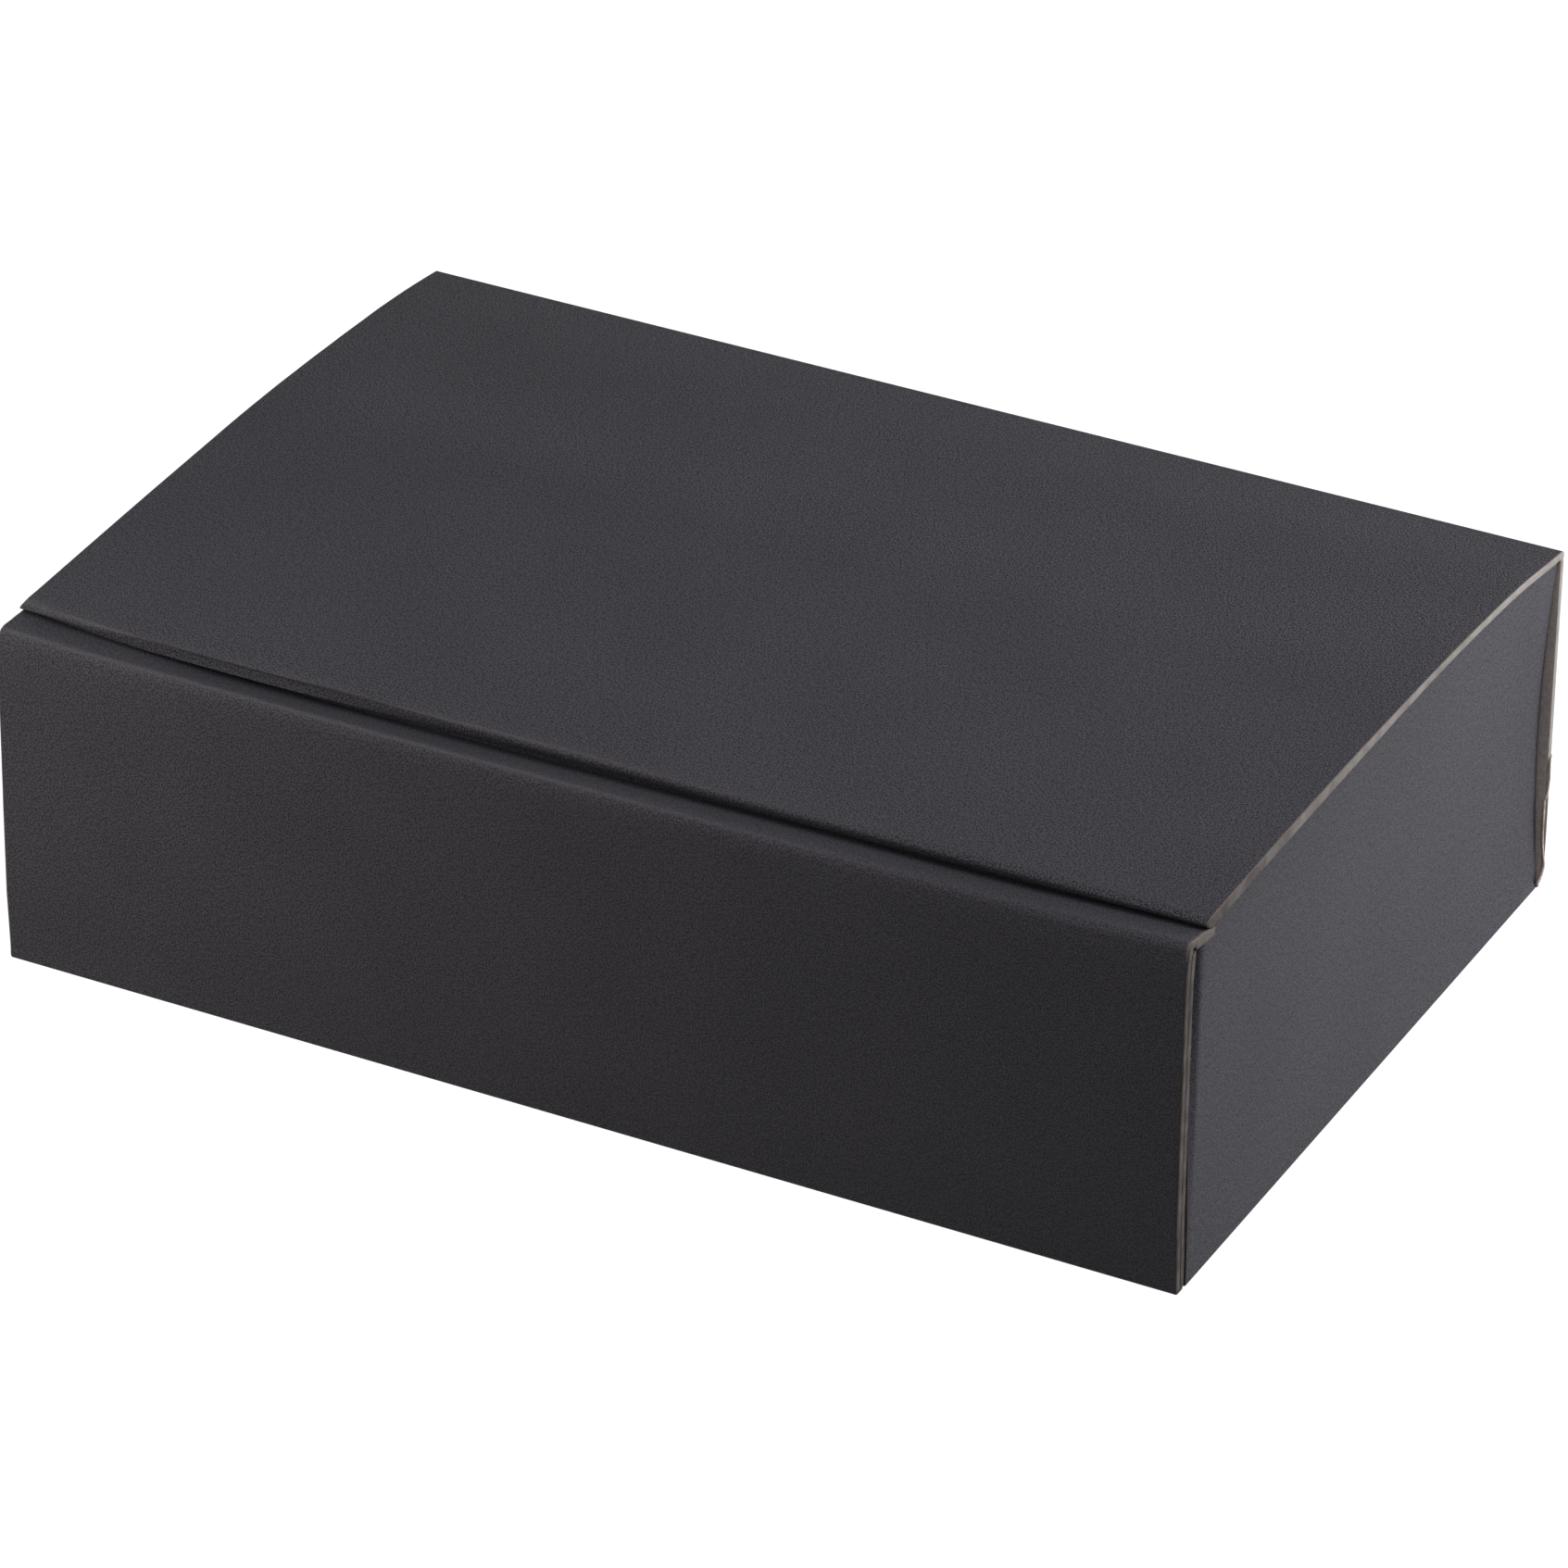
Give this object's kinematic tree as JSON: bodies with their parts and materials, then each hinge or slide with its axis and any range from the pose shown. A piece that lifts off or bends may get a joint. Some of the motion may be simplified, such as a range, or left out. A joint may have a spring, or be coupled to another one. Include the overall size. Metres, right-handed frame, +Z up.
{
  "type": "folding gift box",
  "caption": "Low rectangular gift box of black creased board, with a rear-hinged lid whose folded flap closes over the front wall.",
  "frame": {"origin": "centre of the bounding box's underside, on the surface the box stands on", "axes": "+X along the lid's hinge, +Y from the flap to the back wall, +Z up"},
  "size_m": [0.23, 0.1568, 0.072],
  "materials": {
    "black_faced_board": "matte uncoated black paper face",
    "kraft_faced_board": "matte grey-brown kraft face",
    "adhesive_tape": "clear double-sided film",
    "magnet_nickel": "nickel-plated",
    "steel_disc": "zinc-plated"
  },
  "bodies": {
    "tray": {"bottom_panel": "kraft_faced_board", "back_wall": "black_faced_board", "front_wall_outer": "black_faced_board", "front_wall_inner": "black_faced_board", "front_wall_top_fold": "black_faced_board", "left_end_wall": "black_faced_board", "right_end_wall": "black_faced_board", "left_front_tab": "kraft_faced_board", "right_front_tab": "kraft_faced_board", "left_back_tab": "kraft_faced_board", "right_back_tab": "kraft_faced_board", "left_front_tape": "adhesive_tape", "right_front_tape": "adhesive_tape", "left_back_tape": "adhesive_tape", "right_back_tape": "adhesive_tape", "left_steel_disc": "steel_disc", "right_steel_disc": "steel_disc", "lid_hinge_crease": "black_faced_board"},
    "lid": {"lid_panel": "black_faced_board", "groove_web": "black_faced_board", "hinge_strip": "black_faced_board", "flap_crease": "black_faced_board"},
    "flap": {"flap_outer_ply": "black_faced_board", "flap_inner_ply": "black_faced_board", "flap_bottom_fold": "black_faced_board", "left_flap_magnet": "magnet_nickel", "right_flap_magnet": "magnet_nickel"}
  },
  "joints": [
    {"name": "lid_hinge", "type": "hinge", "parent": "tray", "child": "lid", "pos_m": [0, 0.07765, 0.06825], "axis": [-1, 0, 0], "range_deg": [0, 180]},
    {"name": "flap_hinge", "type": "hinge", "parent": "lid", "child": "flap", "pos_m": [0, -0.07685, 0.06645], "axis": [-1, 0, 0], "range_deg": [0, 90]}
  ]
}
